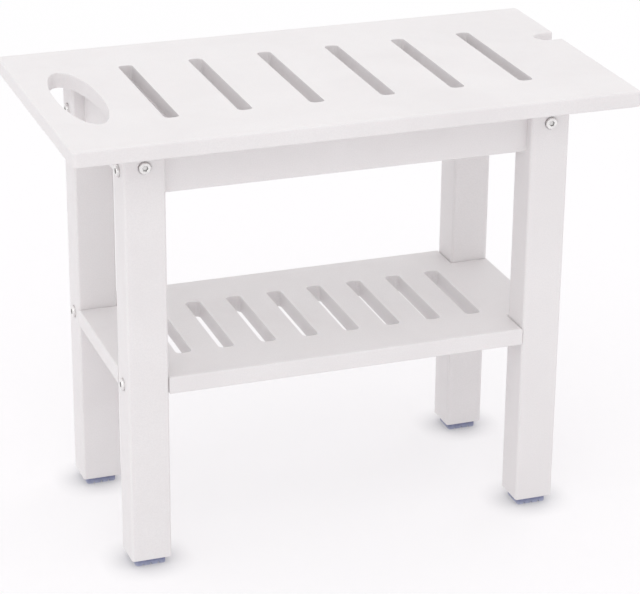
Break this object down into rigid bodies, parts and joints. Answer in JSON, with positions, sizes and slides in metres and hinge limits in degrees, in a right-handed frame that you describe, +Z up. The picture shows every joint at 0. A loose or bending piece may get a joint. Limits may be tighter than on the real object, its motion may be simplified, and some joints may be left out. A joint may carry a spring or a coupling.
{
  "type": "shower bench",
  "caption": "Rectangular slotted plastic shower bench with a slotted storage shelf, a hand hole, an edge notch, square legs bolted to aprons, and a square blue pad under each leg.",
  "frame": {"origin": "on the floor under the middle of the seat: the bottom centre of the bounding box", "axes": "+X along the bench towards the end with the edge notch, +Y from the front to the back (the notch is nearer the back), +Z up"},
  "size_m": [0.572, 0.306, 0.4595],
  "materials": {
    "white_board": "white high-density polyethylene board, finely textured, satin",
    "bolt_steel": "stainless steel, turned, satin",
    "insert_brass": "plain turned brass",
    "blue_pad": "dark blue moulded rubber, satin"
  },
  "bodies": {
    "root": {"seat_board": "white_board", "shelf_board": "white_board", "front_apron": "white_board", "back_apron": "white_board", "left_apron": "white_board", "right_apron": "white_board", "leg_front_left": "white_board", "leg_front_right": "white_board", "leg_back_left": "white_board", "leg_back_right": "white_board", "long_apron_bolts": "bolt_steel", "short_apron_bolts": "bolt_steel", "shelf_bolts": "bolt_steel", "seat_screws": "bolt_steel", "pad_screws": "bolt_steel", "long_apron_inserts": "insert_brass", "short_apron_inserts": "insert_brass", "shelf_inserts": "insert_brass", "foot_pad_front_left": "blue_pad", "foot_pad_front_right": "blue_pad", "foot_pad_back_left": "blue_pad", "foot_pad_back_right": "blue_pad"}
  },
  "joints": []
}
